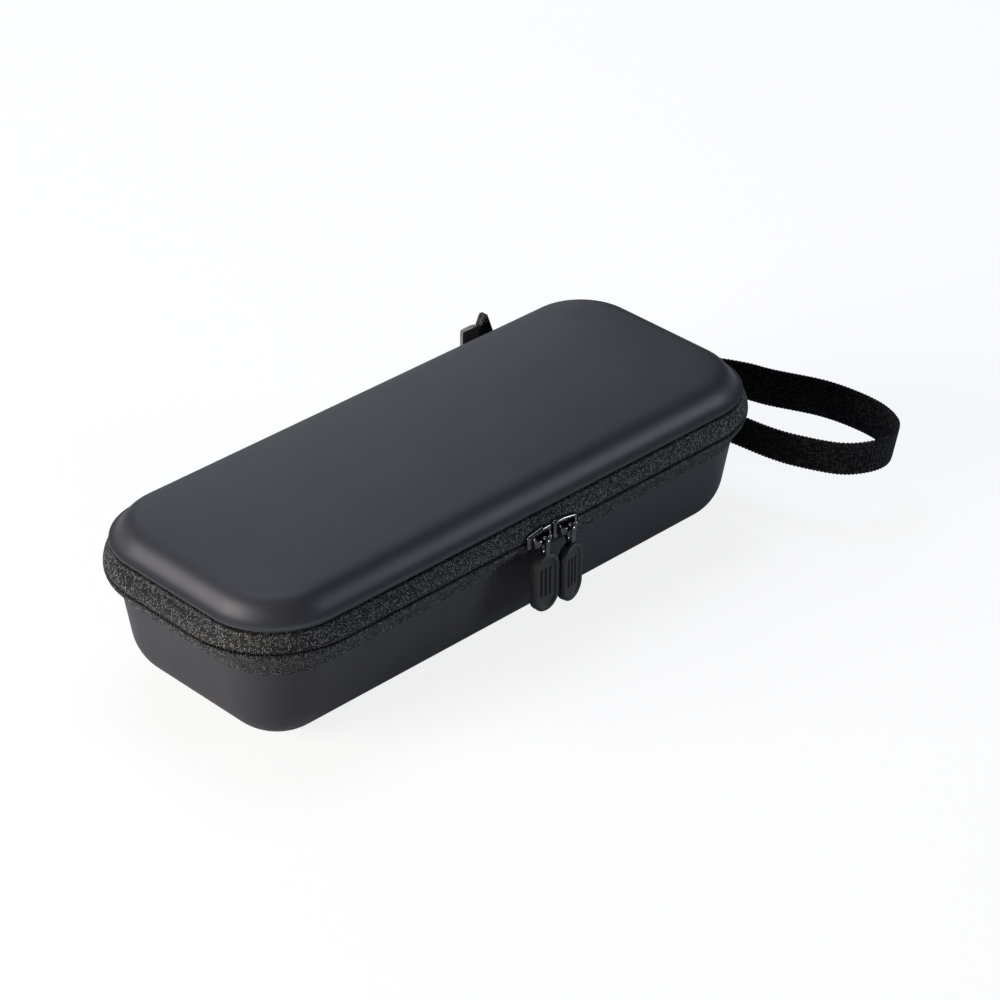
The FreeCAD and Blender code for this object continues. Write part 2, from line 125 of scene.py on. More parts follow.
# joins rows of points into a skin, with a map that runs in millimetres along and across it
def skinRows(name, rows, ringClosed=True, sectionClosed=False, caps=False, endCaps=False):
    shape = bmesh.new()
    weave = shape.loops.layers.uv.new("weave")
    columns = len(rows[0])
    along = [0.0]
    across = [0.0]
    for k in range(columns):
        along.append(along[-1] + (rows[0][(k + 1) % columns] - rows[0][k]).length)
    for k in range(len(rows)):
        nextRow = rows[(k + 1) % len(rows)]
        across.append(across[-1] + max((nextRow[c] - rows[k][c]).length for c in (0, columns // 3)))
    grid = [[shape.verts.new(point) for point in row] for row in rows]
    for r in range(len(rows) if sectionClosed else len(rows) - 1):
        for c in range(columns if ringClosed else columns - 1):
            nr, nc = (r + 1) % len(rows), (c + 1) % columns
            face = shape.faces.new((grid[r][c], grid[r][nc], grid[nr][nc], grid[nr][c]))
            spots = ((along[c], across[r]), (along[c + 1], across[r]),
                     (along[c + 1], across[r + 1]), (along[c], across[r + 1]))
            for loop, spot in zip(face.loops, spots):
                loop[weave].uv = spot
    if caps:
        shape.faces.new(grid[0])
        shape.faces.new(grid[-1])
    if endCaps:
        shape.faces.new([row[0] for row in grid])
        shape.faces.new([row[-1] for row in grid])
    smoothShape(shape)
    return linkShape(name, shape)


def joinPieces(name, pieces):
    shape = bmesh.new()
    for piece in pieces:
        old = piece.data
        shape.from_mesh(old)
        bpy.data.objects.remove(piece)
        bpy.data.meshes.remove(old)
    return linkShape(name, shape)


def sharpen(piece, degrees):
    piece.data.set_sharp_from_angle(angle=math.radians(degrees))


def settle(piece, finish, body, slotName, *nodes):
    piece.data.materials.clear()
    piece.data.materials.append(finish)
    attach(piece, body)
    if nodes:
        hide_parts(*nodes)


# finishes

def newFinish(name, colour, roughness, metallic=0.0, specular=0.5):
    finish = bpy.data.materials.new(name)
    finish.use_nodes = True
    nodes, links = finish.node_tree.nodes, finish.node_tree.links
    shader = nodes["Principled BSDF"]
    shader.inputs["Base Color"].default_value = (*colour, 1)
    shader.inputs["Roughness"].default_value = roughness
    shader.inputs["Metallic"].default_value = metallic
    shader.inputs["Specular IOR Level"].default_value = specular
    return finish, nodes, links, shader


def addNode(nodes, kind, **sockets):
    node = nodes.new(kind)
    for key, value in sockets.items():
        node.inputs[key.replace("_", " ")].default_value = value
    return node


def addTexture(nodes, links, kind, place, **sockets):
    node = addNode(nodes, "ShaderNodeTex" + kind, **sockets)
    links.new(place, node.inputs["Vector"])
    return node


def addColour(nodes, links, source, stops, shader):
    ramp = nodes.new("ShaderNodeValToRGB")
    while len(ramp.color_ramp.elements) < len(stops):
        ramp.color_ramp.elements.new(0.5)
    for element, (place, colour) in zip(ramp.color_ramp.elements, stops):
        element.position = place
        element.color = (*colour, 1)
    links.new(source, ramp.inputs["Fac"])
    links.new(ramp.outputs["Color"], shader.inputs["Base Color"])


def addRoughness(nodes, links, source, low, high, shader):
    spread = addNode(nodes, "ShaderNodeMapRange", To_Min=low, To_Max=high)
    links.new(source, spread.inputs["Value"])
    links.new(spread.outputs["Result"], shader.inputs["Roughness"])


def addBump(nodes, links, height, strength, distance, shader, under=None):
    bump = addNode(nodes, "ShaderNodeBump", Strength=strength, Distance=distance)
    links.new(height, bump.inputs["Height"])
    if under:
        links.new(under.outputs["Normal"], bump.inputs["Normal"])
    links.new(bump.outputs["Normal"], shader.inputs["Normal"])
    return bump


def multiply(nodes, links, first, second):
    node = nodes.new("ShaderNodeMath")
    node.operation = "MULTIPLY"
    links.new(first, node.inputs[0])
    links.new(second, node.inputs[1])
    return node.outputs[0]


skinLook = {"dark": (0.0275, 0.0275, 0.0332), "light": (0.0315, 0.0315, 0.038), "roughness": (0.43, 0.5),
            "plainRoughness": 0.44, "specular": 0.34, "cloudScale": 26.0, "rubScale": 120.0,
            "waveScale": 55.0, "waveBump": 0.05, "waveDepth": 0.0008,
            "grainScale": 1500.0, "grainBump": 0.10, "grainDepth": 0.00008}


def skinFinish():
    finish, nodes, links, shader = newFinish("softTouchSkin", skinLook["light"], skinLook["plainRoughness"],
                                             0.0, skinLook["specular"])
    place = nodes.new("ShaderNodeTexCoord").outputs["Object"]
    cloud = addTexture(nodes, links, "Noise", place, Scale=skinLook["cloudScale"], Detail=5.0, Roughness=0.6)
    addColour(nodes, links, cloud.outputs["Fac"], [(0.3, skinLook["dark"]), (0.7, skinLook["light"])], shader)
    rub = addTexture(nodes, links, "Noise", place, Scale=skinLook["rubScale"], Detail=4.0, Roughness=0.65)
    addRoughness(nodes, links, rub.outputs["Fac"], *skinLook["roughness"], shader)
    grain = addTexture(nodes, links, "Voronoi", place, Scale=skinLook["grainScale"])
    wave = addTexture(nodes, links, "Noise", place, Scale=skinLook["waveScale"], Detail=2.0)
    under = addBump(nodes, links, wave.outputs["Fac"], skinLook["waveBump"], skinLook["waveDepth"], shader)
    addBump(nodes, links, grain.outputs["Distance"], skinLook["grainBump"], skinLook["grainDepth"], shader,
            under)
    return finish


tapeLook = {"column": 0.96, "dash": 0.64, "faint": 0.22, "thread": (0.28, 0.28, 0.283),
            "dull": (0.017, 0.017, 0.018), "shade": (0.003, 0.003, 0.0033),
            "depth": 0.00035, "roughness": 0.75, "specular": 0.3}
webbingLook = {"column": 1.5, "dash": 1.2, "faint": 0.25, "thread": (0.034, 0.034, 0.036),
               "dull": (0.002, 0.002, 0.0022), "shade": (0.0006, 0.0006, 0.0006),
               "depth": 0.0003, "roughness": 0.65, "specular": 0.12}
bindingLook = {"column": 1.1, "dash": 5.0, "faint": 0.15, "thread": (0.035, 0.035, 0.037),
               "dull": (0.018, 0.018, 0.019), "shade": (0.006, 0.006, 0.007),
               "depth": 0.0002, "roughness": 0.8, "specular": 0.3}
weaveLook = {"sway": (0.45, 0.35, 0.0), "swayScale": 0.9, "fluffScale": 2.6, "bump": 0.9}  # for all three


def weaveFinish(name, look):
    finish, nodes, links, shader = newFinish(name, look["dull"], look["roughness"], 0.0, look["specular"])
    weave = nodes.new("ShaderNodeUVMap")
    weave.uv_map = "weave"
    parts = nodes.new("ShaderNodeSeparateXYZ")
    links.new(weave.outputs["UV"], parts.inputs["Vector"])
    turned = nodes.new("ShaderNodeCombineXYZ")  # dashes stand across the tape
    links.new(parts.outputs["Y"], turned.inputs["X"])
    links.new(parts.outputs["X"], turned.inputs["Y"])
    shake = addTexture(nodes, links, "Noise", turned.outputs["Vector"], Scale=weaveLook["swayScale"],
                       Detail=3.0)
    shift = addNode(nodes, "ShaderNodeVectorMath")
    shift.operation = "MULTIPLY_ADD"
    links.new(shake.outputs["Color"], shift.inputs[0])
    shift.inputs[1].default_value = weaveLook["sway"]
    links.new(turned.outputs["Vector"], shift.inputs[2])
    dashes = addTexture(nodes, links, "Brick", shift.outputs["Vector"], Color1=(look["faint"],) * 3 + (1,),
                        Color2=(1, 1, 1, 1), Mortar=(0, 0, 0, 1), Scale=1.0, Bias=-0.2, Mortar_Size=0.16,
                        Mortar_Smooth=0.7, Brick_Width=look["dash"], Row_Height=look["column"] / 2)
    fluff = addTexture(nodes, links, "Noise", weave.outputs["UV"], Scale=weaveLook["fluffScale"], Detail=6.0,
                       Roughness=0.7)
    tone = multiply(nodes, links, dashes.outputs["Color"], fluff.outputs["Fac"])
    stops = [(0.05, look["shade"]), (0.17, look["dull"]), (0.40, look["thread"])]
    addColour(nodes, links, tone, stops, shader)
    addBump(nodes, links, tone, weaveLook["bump"], look["depth"], shader)
    return finish


nickelLook = {"colour": (0.10, 0.10, 0.105), "roughness": 0.13, "wearLow": 0.75, "wearHigh": 1.3,
              "wearScale": 300.0, "pitScale": 1800.0, "pitBump": 0.12, "pitDepth": 0.00008}


def metalFinish(name, look):
    colour, roughness = look["colour"], look["roughness"]
    low, high = look["wearLow"], look["wearHigh"]
    finish, nodes, links, shader = newFinish(name, colour, roughness, 1.0)
    place = nodes.new("ShaderNodeTexCoord").outputs["Object"]
    wear = addTexture(nodes, links, "Noise", place, Scale=look["wearScale"], Detail=6.0, Roughness=0.65)
    stops = [(0.35, [c * low for c in colour]), (0.65, [c * high for c in colour])]
    addColour(nodes, links, wear.outputs["Fac"], stops, shader)
    addRoughness(nodes, links, wear.outputs["Fac"], roughness * low, roughness * high, shader)
    pit = addTexture(nodes, links, "Noise", place, Scale=look["pitScale"], Detail=3.0)
    addBump(nodes, links, pit.outputs["Fac"], look["pitBump"], look["pitDepth"], shader)
    return finish


grainLooks = {
    "liningKnit": {"dark": (0.012, 0.012, 0.013), "light": (0.045, 0.045, 0.048), "roughness": 0.9,
                   "scale": 1400.0, "bump": 0.5, "depth": 0.0002, "specular": 0.2},
    "cellFoam": {"dark": (0.014, 0.014, 0.016), "light": (0.034, 0.034, 0.037), "roughness": 0.85,
                 "scale": 2100.0, "bump": 0.5, "depth": 0.0002, "specular": 0.25},
    "coilNylon": {"dark": (0.006, 0.006, 0.0065), "light": (0.014, 0.014, 0.015), "roughness": 0.38,
                  "scale": 900.0, "bump": 0.05, "depth": 0.0001, "specular": 0.4},
    "gripRubber": {"dark": (0.010, 0.010, 0.0115), "light": (0.021, 0.021, 0.0235), "roughness": 0.55,
                   "scale": 2600.0, "bump": 0.18, "depth": 0.0001, "specular": 0.4},
    "clampGrey": {"dark": (0.075, 0.071, 0.067), "light": (0.15, 0.142, 0.134), "roughness": 0.34,
                  "scale": 900.0, "bump": 0.1, "depth": 0.0001, "specular": 0.6},
    "stitchThread": {"dark": (0.006, 0.006, 0.007), "light": (0.020, 0.020, 0.022), "roughness": 0.7,
                     "scale": 2500.0, "bump": 0.3, "depth": 0.0001, "specular": 0.4},
}
roughSpread = 0.06


def grainFinish(name):
    look = grainLooks[name]
    roughness, scale = look["roughness"], look["scale"]
    finish, nodes, links, shader = newFinish(name, look["light"], roughness, 0.0, look["specular"])
    place = nodes.new("ShaderNodeTexCoord").outputs["Object"]
    cells = addTexture(nodes, links, "Voronoi", place, Scale=scale)
    cloud = addTexture(nodes, links, "Noise", place, Scale=scale / 7, Detail=5.0, Roughness=0.7)
    tone = multiply(nodes, links, cloud.outputs["Fac"], cells.outputs["Distance"])
    addColour(nodes, links, tone, [(0.05, look["dark"]), (0.4, look["light"])], shader)
    addRoughness(nodes, links, cloud.outputs["Fac"], roughness - roughSpread, roughness + roughSpread, shader)
    addBump(nodes, links, cells.outputs["Distance"], look["bump"], look["depth"], shader)
    return finish


skin = skinFinish()
tapeWeave = weaveFinish("zipTapeWeave", tapeLook)
webbingWeave = weaveFinish("strapWeave", webbingLook)
bindingWeave = weaveFinish("bindingWeave", bindingLook)
knit = grainFinish("liningKnit")
foam = grainFinish("cellFoam")
nylon = grainFinish("coilNylon")
rubber = grainFinish("gripRubber")
blackNickel = metalFinish("blackNickel", nickelLook)
clampGrey = grainFinish("clampGrey")
thread = grainFinish("stitchThread")
print("finishes made")


# moulded base

base = {"top": 41.0, "inset": 2.5, "draft": 9.0, "rounding": 20.0, "wall": 4.0, "edge": 0.5,
        "arcSteps": 18, "wallSteps": 6}


def baseWall(depth, z):  # how far the leaning wall stands from the rim's outline
    draft = math.radians(base["draft"])
    return -base["inset"] - (base["top"] - z) * math.tan(draft) - depth / math.cos(draft)


def baseProfile(depth, top):
    draft = math.radians(base["draft"])
    rounding = base["rounding"]
    reach = (rounding + (base["top"] - rounding) * math.sin(draft)) / math.cos(draft)
    heart = (-base["inset"] - reach, rounding)
    arc = arcProfile(heart, rounding - depth, -90, -base["draft"], base["arcSteps"])
    low, steps = arc[-1][1], base["wallSteps"]
    heights = [low + (top - low) * k / steps for k in range(1, steps + 1)]
    return arc + [(baseWall(depth, z), z) for z in heights]


outside = baseProfile(0.0, base["top"] - base["edge"])
rim = [(-base["inset"] - base["edge"], base["top"]), (baseWall(base["wall"], base["top"]), base["top"])]
inside = baseProfile(base["wall"], base["top"] - base["edge"])[::-1]
shellBase = skinRows("mouldedBase", flatRows(outside + rim + inside), caps=True)
sharpen(shellBase, 40)
settle(shellBase, skin, "base", "shell_skin", "base_shell")

lining = {"depth": 4.05, "thick": 0.6, "baseTop": 34.3, "lidFoot": 52.5}
liner = baseProfile(lining["depth"], lining["baseTop"])
linerInside = baseProfile(lining["depth"] + lining["thick"], lining["baseTop"])[::-1]
liningBase = skinRows("knitBase", flatRows(liner + linerInside), caps=True)
sharpen(liningBase, 40)
settle(liningBase, knit, "base", "lining_knit", "base_lining")
print("base shell and lining made")


# moulded lid

lid = {
    "inset": 4.6, "foot": 48.9, "wall": 4.0,
    "flareFoot": 54.1, "flareInset": 0.3, "brimThick": 1.0, "brimRound": 0.3,
    "brimCurve": [(-0.3, 0.0), (-0.06, 0.12), (0.0, 0.35)],  # (out, up) from the brim's lower edge
    "shoulder": [(-0.3, 54.1), (-4.4, 54.9), (-3.7, 61.4), (-11.0, 62.05)], "shoulderSteps": 26,
    "crownFlat": 4.6, "crownSlope": 4.2, "crownEase": 16.0, "crownRings": 20,
    "innerEdge": 60.7, "innerRound": 2.5, "sweep": 82.0, "innerSlope": 8.0, "innerSteps": 8, "innerRings": 10,
}


def crownRows(edgeGrow, edgeHeight, rings, degrees):  # soft crown that keeps no crease at the corners
    run = case["halfWidth"] + edgeGrow - lid["crownFlat"]
    top = math.tan(math.radians(degrees)) * run / 2
    halfX, halfY = case["halfLength"] + edgeGrow, case["halfWidth"] + edgeGrow
    rows = []
    for k in range(1, rings + 1):
        share = k / rings
        plain = top * share * (2 - share)
        ease = min(run * share / lid["crownEase"], 1)
        ease = ease * ease * (3 - 2 * ease)
        row = caseRow(edgeGrow - run * share, 0, 0)
        for point in row:
            alongX = min((halfX - abs(point.x)) / run, 1)
            alongY = min((halfY - abs(point.y)) / run, 1)
            soft = top * alongX * (2 - alongX) * alongY * (2 - alongY)
            point.z = edgeHeight + plain + (soft - plain) * ease
        rows.append(row)
    return rows


def lidShoulder():  # one soft curve from the hollow foot to the crown
    p0, p1, p2, p3 = (Vector(point) for point in lid["shoulder"])
    curve = []
    for k in range(lid["shoulderSteps"] + 1):
        t = k / lid["shoulderSteps"]
        s = 1 - t
        curve.append(p0 * s ** 3 + p1 * 3 * s * s * t + p2 * 3 * s * t * t + p3 * t ** 3)
    return [(point.x, point.y) for point in curve]


shoulder = lidShoulder()
wall = -lid["inset"]
brimFoot = lid["flareFoot"] - lid["brimThick"]
brimOut = -lid["flareInset"]
brim = [(wall, lid["foot"]), (wall, brimFoot)]
brim += [(brimOut + out, brimFoot + up) for out, up in lid["brimCurve"]]
brim += [(brimOut, lid["flareFoot"] - lid["brimRound"])]


def lidInside(depth):
    radius = lid["innerRound"] + lid["wall"] - depth
    edge = lid["innerEdge"] - depth
    middle = (wall - lid["wall"] - lid["innerRound"], edge - radius * math.sin(math.radians(lid["sweep"])))
    arc = arcProfile(middle, radius, 0, lid["sweep"], lid["innerSteps"])
    return flatRows(arc) + crownRows(*arc[-1], lid["innerRings"], lid["innerSlope"])


lidRows = lidInside(lid["wall"])[::-1] + flatRows([(wall - lid["wall"], lid["foot"])])
lidRows += flatRows(brim + shoulder)
lidRows += crownRows(*shoulder[-1], lid["crownRings"], lid["crownSlope"])
shellLid = skinRows("mouldedLid", lidRows, caps=True)
sharpen(shellLid, 50)
settle(shellLid, skin, "lid", "shell_skin", "lid_shell")

innerFace = lidInside(lining["depth"] + lining["thick"])
outerFace = lidInside(lining["depth"])
linerOut = wall - lining["depth"]
edgeRows = flatRows([(linerOut - lining["thick"], lining["lidFoot"]), (linerOut, lining["lidFoot"])])
liningLid = skinRows("knitLid", innerFace[::-1] + edgeRows + outerFace, caps=True)
sharpen(liningLid, 40)
settle(liningLid, knit, "lid", "lining_knit", "lid_lining")
print("lid shell and lining made")


# bindings over the sewn edges inside

binding = {"thick": 0.8, "baseTop": 41.85, "baseFoot": 34.5, "lidFoot": 48.05, "lidTop": 52.3,
           "soft": 0.35, "outerRound": 0.3, "innerRound": 0.4, "setBack": 0.1, "lipGap": 0.05}


# inner gives the wall's inside at a height, cover is the folded edge and lip the sewn one
def bindingPiece(name, body, node, inner, outward, cover, lip, outerLip):
    way = 1 if cover > lip else -1
    soft = binding["soft"] * way
    middle, thick = (cover + lip) / 2, binding["thick"]
    profile = [(outward, outerLip), (outward, cover - soft), (outward - binding["outerRound"], cover),
               (inner(cover) - thick + binding["innerRound"], cover), (inner(cover) - thick, cover - soft),
               (inner(middle) - thick, middle), (inner(lip) - thick, lip), (inner(lip), lip),
               (inner(outerLip), outerLip)]
    piece = skinRows(name, flatRows(profile), sectionClosed=True)
    sharpen(piece, 60)
    settle(piece, bindingWeave, body, "binding_tape", node)


def baseInner(z):
    return baseWall(lining["depth"], z)


def lidInner(z):
    return wall - lining["depth"]


bindingPiece("baseBinding", "base", "base_binding", baseInner, -base["inset"] - binding["setBack"],
             binding["baseTop"], binding["baseFoot"], base["top"] + binding["lipGap"])
bindingPiece("lidBinding", "lid", "lid_binding", lidInner, wall - binding["setBack"],
             binding["lidFoot"], binding["lidTop"], lid["foot"] - binding["lipGap"])

# (along, across, outward) round one bead of thread, in shares of half length, half width and width
beadFoot = [(-1, -0.6, 0), (-1, 0.6, 0), (-0.6, 1, 0.5), (0.6, 1, 0.5),
            (1, 0.6, 0), (1, -0.6, 0), (0.6, -1, 0.5), (-0.6, -1, 0.5)]
beadCrest = [(-0.3, 0.8), (0.3, 0.8)]  # (along, outward) in shares of its length and width


def stitchRow(name, body, slotName, spots, look):  # one bead at each (point, along, outward)
    length, width = look["length"], look["width"]
    shape = bmesh.new()
    for point, along, outward in spots:
        side = along.cross(outward).normalized()
        foot = [shape.verts.new(point + along * a * length / 2 + side * s * width / 2 + outward * o * width)
                for a, s, o in beadFoot]
        near, far = [shape.verts.new(point + along * a * length + outward * o * width) for a, o in beadCrest]
        a0, a1, b0, b1, c0, c1, d0, d1 = foot
        for sides in ((a0, near, a1), (a1, near, b0), (b0, near, far, b1), (b1, far, c0),
                      (c0, far, c1), (c1, far, d0), (d0, far, near, d1), (d1, near, a0)):
            shape.faces.new(sides)
    smoothShape(shape)
    settle(linkShape(name, shape), thread, body, slotName)


def walkRing(grow, swell, z, pitch, gap=None):  # evenly spaced (point, along, outward) round the case
    points = caseRow(grow, swell, z, gap)
    if not gap:
        points.append(points[0])
    spots, left = [], pitch / 2
    for a, b in zip(points, points[1:]):
        length = (b - a).length
        along = (b - a).normalized()
        outward = Vector((-along.y, along.x, 0))
        while left <= length:
            spots.append((a + along * left, along, outward))
            left += pitch
        left -= length
    return spots


bindingStitch = {"pitch": 3.2, "length": 2.1, "width": 0.45, "baseHeight": 36.7, "lidHeight": 51.2}
for name, body, inner, z in (("baseBindingStitches", "base", baseInner, bindingStitch["baseHeight"]),
                             ("lidBindingStitches", "lid", lidInner, bindingStitch["lidHeight"])):
    ring = walkRing(inner(z) - binding["thick"], 0, z, bindingStitch["pitch"])
    spots = [(point, along, -outward) for point, along, outward in ring]
    stitchRow(name, body, "binding_tape", spots, bindingStitch)
print("bindings made")


# zip tapes, hinge strip and coils

tape = {"thick": 0.9, "lip": 4.0, "rimRound": 0.95, "rimSteps": 6, "zipGap": 0.48, "flat": 1.0, "wave": 0.55,
        "foot": 34.3, "hug": 3.0, "seatGap": 0.05, "edge": 0.25, "steps": 12,
        "hem": [(0.6, 0.45), (0.0, 0.2), (0.0, 0.0)]}  # (up from the foot, out from the base's wall)
zipHeight = case["zipHeight"]


def seat(z):  # where the tape lies on the base's wall
    return baseWall(-tape["seatGap"], z)


def upperFace(offset):  # (grow, swell, z) down the upper tape, offset inwards from its outer face
    rows = [(-tape["lip"], 0, case["rimTop"] - offset)]
    middle = (-tape["rimRound"], case["rimTop"] - tape["rimRound"])
    rows += [(g, 0, z) for g, z in arcProfile(middle, tape["rimRound"] - offset, 90, 0, tape["rimSteps"])]
    top, low = middle[1], zipHeight + tape["zipGap"] + tape["flat"]
    for k in range(1, tape["steps"] + 1):
        share = k / tape["steps"]
        rows.append((-offset, math.sin(share * math.pi / 2), top + (low - top) * share))
    return rows


def lowerFace(offset):
    top, low = zipHeight - tape["zipGap"] - tape["flat"], tape["foot"] + tape["hug"]
    rows = []
    for k in range(tape["steps"] + 1):
        share = k / tape["steps"]
        ease = tape["wave"] * (0.5 - 0.5 * math.cos(math.pi * share)) + (1 - tape["wave"]) * share
        grow = (seat(low) + tape["thick"]) * ease - offset
        rows.append((grow, 1 - ease, top + (low - top) * share))
    return rows


def lowerHem():
    return [(seat(tape["foot"] + up) + out, 0, tape["foot"] + up) for up, out in tape["hem"]]


def stripPiece(name, rows):  # a woven strip with two ends
    piece = skinRows(name, rows, ringClosed=False, sectionClosed=True, endCaps=True)
    sharpen(piece, 60)
    return piece


upperEdge, lowerEdge = zipHeight + tape["zipGap"], zipHeight - tape["zipGap"]
innerEdge = -tape["thick"] + tape["edge"]
upperProfile = upperFace(0.0) + [(-tape["edge"], 1, upperEdge), (innerEdge, 1, upperEdge)]
upperProfile += upperFace(tape["thick"])[::-1]
lowerProfile = [(-tape["edge"], 1, lowerEdge)] + lowerFace(0.0) + lowerHem()
lowerProfile += lowerFace(tape["thick"])[::-1] + [(innerEdge, 1, lowerEdge)]
tapeGap = case["hingeHalf"] + case["hingeGap"]
for name, body, node, profile in (("upperTape", "lid", "zip_tape_upper", upperProfile),
                                  ("lowerTape", "base", "zip_tape_lower", lowerProfile)):
    piece = stripPiece(name, [caseRow(*spot, tapeGap) for spot in profile])
    settle(piece, tapeWeave, body, "zip_tape", node)

hinge = {"steps": 80, "blendLow": 43.0, "blendHigh": 48.2,  # crease is (dip, rise) at the fold
         "crease": [(0.0, 0.8), (0.08, 0.25), (0.12, 0.0), (0.08, -0.25), (0.0, -0.8)]}


def rearRow(grow, swell, z):
    y = case["halfWidth"] + grow + case["bulgeSide"] * swell
    return [Vector((-case["hingeHalf"] + 2 * case["hingeHalf"] * k / hinge["steps"], y, z))
            for k in range(hinge["steps"] + 1)]


def hingeFace(offset):
    bridge = [(-offset - dip, 1, zipHeight + rise) for dip, rise in hinge["crease"]]
    return upperFace(offset) + bridge + lowerFace(offset)


hingeRows = hingeFace(0.0) + lowerHem() + hingeFace(tape["thick"])[::-1]
hingeStrip = stripPiece("fabricHinge", [rearRow(*spot) for spot in hingeRows])
hingeStrip.data.materials.append(tapeWeave)
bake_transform(hingeStrip)
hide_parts("hinge_strip_upper", "hinge_strip_lower")

coil = {"radius": 0.85, "wire": 0.3, "pitch": 1.5, "turnSteps": 8, "sides": 5, "setBack": 2.9, "rise": 1.85}


def coilPiece(name, body, node, height):
    spots = walkRing(-coil["setBack"], 1, height, coil["pitch"] / coil["turnSteps"], tapeGap)
    path = []
    for k, (point, along, outward) in enumerate(spots):
        angle = 2 * math.pi * k / coil["turnSteps"]
        rise = Vector((0, 0, coil["radius"] * math.sin(angle)))
        path.append(point + outward * coil["radius"] * math.cos(angle) + rise)
    rows = []
    for k, point in enumerate(path):
        way = (path[min(k + 1, len(path) - 1)] - path[max(k - 1, 0)]).normalized()
        first = way.cross(spots[k][1]).normalized()
        second = way.cross(first)
        rows.append([point + (first * math.cos(a) + second * math.sin(a)) * coil["wire"]
                     for a in roundAngles(coil["sides"])])
    settle(skinRows(name, rows, caps=True), nylon, body, "zip_coil", node)


coilPiece("upperCoil", "lid", "zip_coil_upper", zipHeight + coil["rise"])
coilPiece("lowerCoil", "base", "zip_coil_lower", zipHeight - coil["rise"])

edgeStitch = {"pitch": 1.5, "length": 0.7, "width": 0.42, "rise": 0.6, "sink": 0.05}  # thread at the zip line
for name, body, way in (("upperEdgeStitches", "lid", 1), ("lowerEdgeStitches", "base", -1)):
    height = zipHeight + way * edgeStitch["rise"]
    spots = walkRing(-edgeStitch["sink"], 1, height, edgeStitch["pitch"], tapeGap)
    stitchRow(name, body, "zip_tape", spots, edgeStitch)
print("zip and hinge made")


# end of the zip behind the lid

zipEnd = {"face": 52.4, "foot": 47.1}
clamp = {"start": 63.0, "length": 8.2, "depth": 2.6, "height": 10.6, "square": 0.55, "full": 0.98,
         "steps": 12, "low": [(0.0, 0.5), (0.2, 0.15), (0.7, 0.0)],  # (up from the foot or the top, inset)
         "high": [(-1.3, 0.0), (-1.2, 0.22), (-0.8, 0.22), (-0.7, 0.0), (-0.2, 0.1), (0.0, 0.5)]}


def clampRow(z, inset):
    half, depth = clamp["length"] / 2 - inset, clamp["depth"] - inset
    points = []
    for k in range(clamp["steps"] + 1):
        angle = math.pi * k / clamp["steps"]
        x = clamp["start"] + clamp["length"] / 2 - half * signedPower(math.cos(angle), clamp["square"])
        y = zipEnd["face"] + depth * math.sin(angle) ** 0.5 * clamp["full"]
        points.append(Vector((x, y, z)))
    return points


clampRows = [clampRow(zipEnd["foot"] + up, inset) for up, inset in clamp["low"]]
clampRows += [clampRow(zipEnd["foot"] + clamp["height"] + up, inset) for up, inset in clamp["high"]]
zipClamp = skinRows("zipEndClamp", clampRows, caps=True)
sharpen(zipClamp, 50)
settle(zipClamp, clampGrey, "lid", "clamp_metal", "zip_end_clamp")

tail = {"gap": 0.3, "heart": (4.6, 4.0),
        "outline": [(0, 0), (4.4, 0), (8.8, 0.2), (8.0, 3.6), (6.7, 7.2), (5.4, 10.6), (4.4, 13.2),
                    (3.0, 13.4), (2.2, 12.4), (1.0, 9.8), (0.1, 7.2)],
        "layers": [(0.0, 0.92), (0.25, 1.0), (1.45, 1.0), (1.6, 0.94), (1.75, 1.0), (2.95, 1.0), (3.2, 0.9)]}
tailStart = clamp["start"] + clamp["length"] + tail["gap"]
tailX, tailZ = tail["heart"]
tailRows = []
for depth, share in tail["layers"]:
    tailRows.append([Vector((tailStart + tailX + (x - tailX) * share, zipEnd["face"] + depth,
                             zipEnd["foot"] + tailZ + (z - tailZ) * share)) for x, z in tail["outline"]])
zipTail = skinRows("zipEndTail", tailRows, caps=True)
sharpen(zipTail, 40)
settle(zipTail, tapeWeave, "lid", "zip_tape", "zip_end_tail")

eyelet = {"place": (3.6, 1.6, 11.6), "ring": 1.0, "wire": 0.3, "halfDepth": 1.75, "steps": 24, "sides": 10}
eyeletHeart = Vector((tailStart, zipEnd["face"], zipEnd["foot"])) + Vector(eyelet["place"])
ringRows, ringAngles = [], roundAngles(eyelet["sides"])
for angle in roundAngles(eyelet["steps"]):
    spoke = Vector((math.cos(angle), 0, math.sin(angle)))
    centre = eyeletHeart + spoke * eyelet["ring"]
    ringRows.append([centre + spoke * eyelet["wire"] * math.cos(a)
                     + Vector((0, eyelet["halfDepth"] * math.sin(a), 0)) for a in ringAngles])
settle(skinRows("tailEyelet", ringRows, sectionClosed=True), clampGrey, "lid", "clamp_metal")
print("zip end made")


# sliders and pulls

slider = {"meet": 4.0, "length": 11.8, "spread": 0.6, "wide": 8.0, "tail": 5.4, "plate": 1.2, "clear": 0.4,
          "neck": 1.2, "round": 1.1, "innerHeight": 6.8, "innerTaper": 0.3, "bar": 2.0,
          "postStart": 0.8, "postLength": 3.6, "postHalf": 0.3, "postSink": 0.1,
          "outerSteps": [(0.0, 0.97), (0.15, 1.0), (0.55, 1.0), (0.85, 0.97), (1.1, 0.88), (1.2, 0.74)],
          "innerSteps": [(0.0, 0.96), (0.2, 1.0), (0.9, 1.0), (1.2, 0.92)]}  # (depth, share of the outline)
arch = {"half": 3.75, "bunch": 1.25, "square": 5, "soft": 0.55, "sink": 0.25, "rise": 0.15, "thick": 0.6,
        "waist": 0.95, "flare": 1.5, "flareRate": 1.25, "flareStart": 0.3, "flarePower": 1.2, "widest": 2.3,
        "steps": 28}
frontZip = case["halfWidth"] + case["bulgeSide"]
upward = Vector((0, 0, 1))


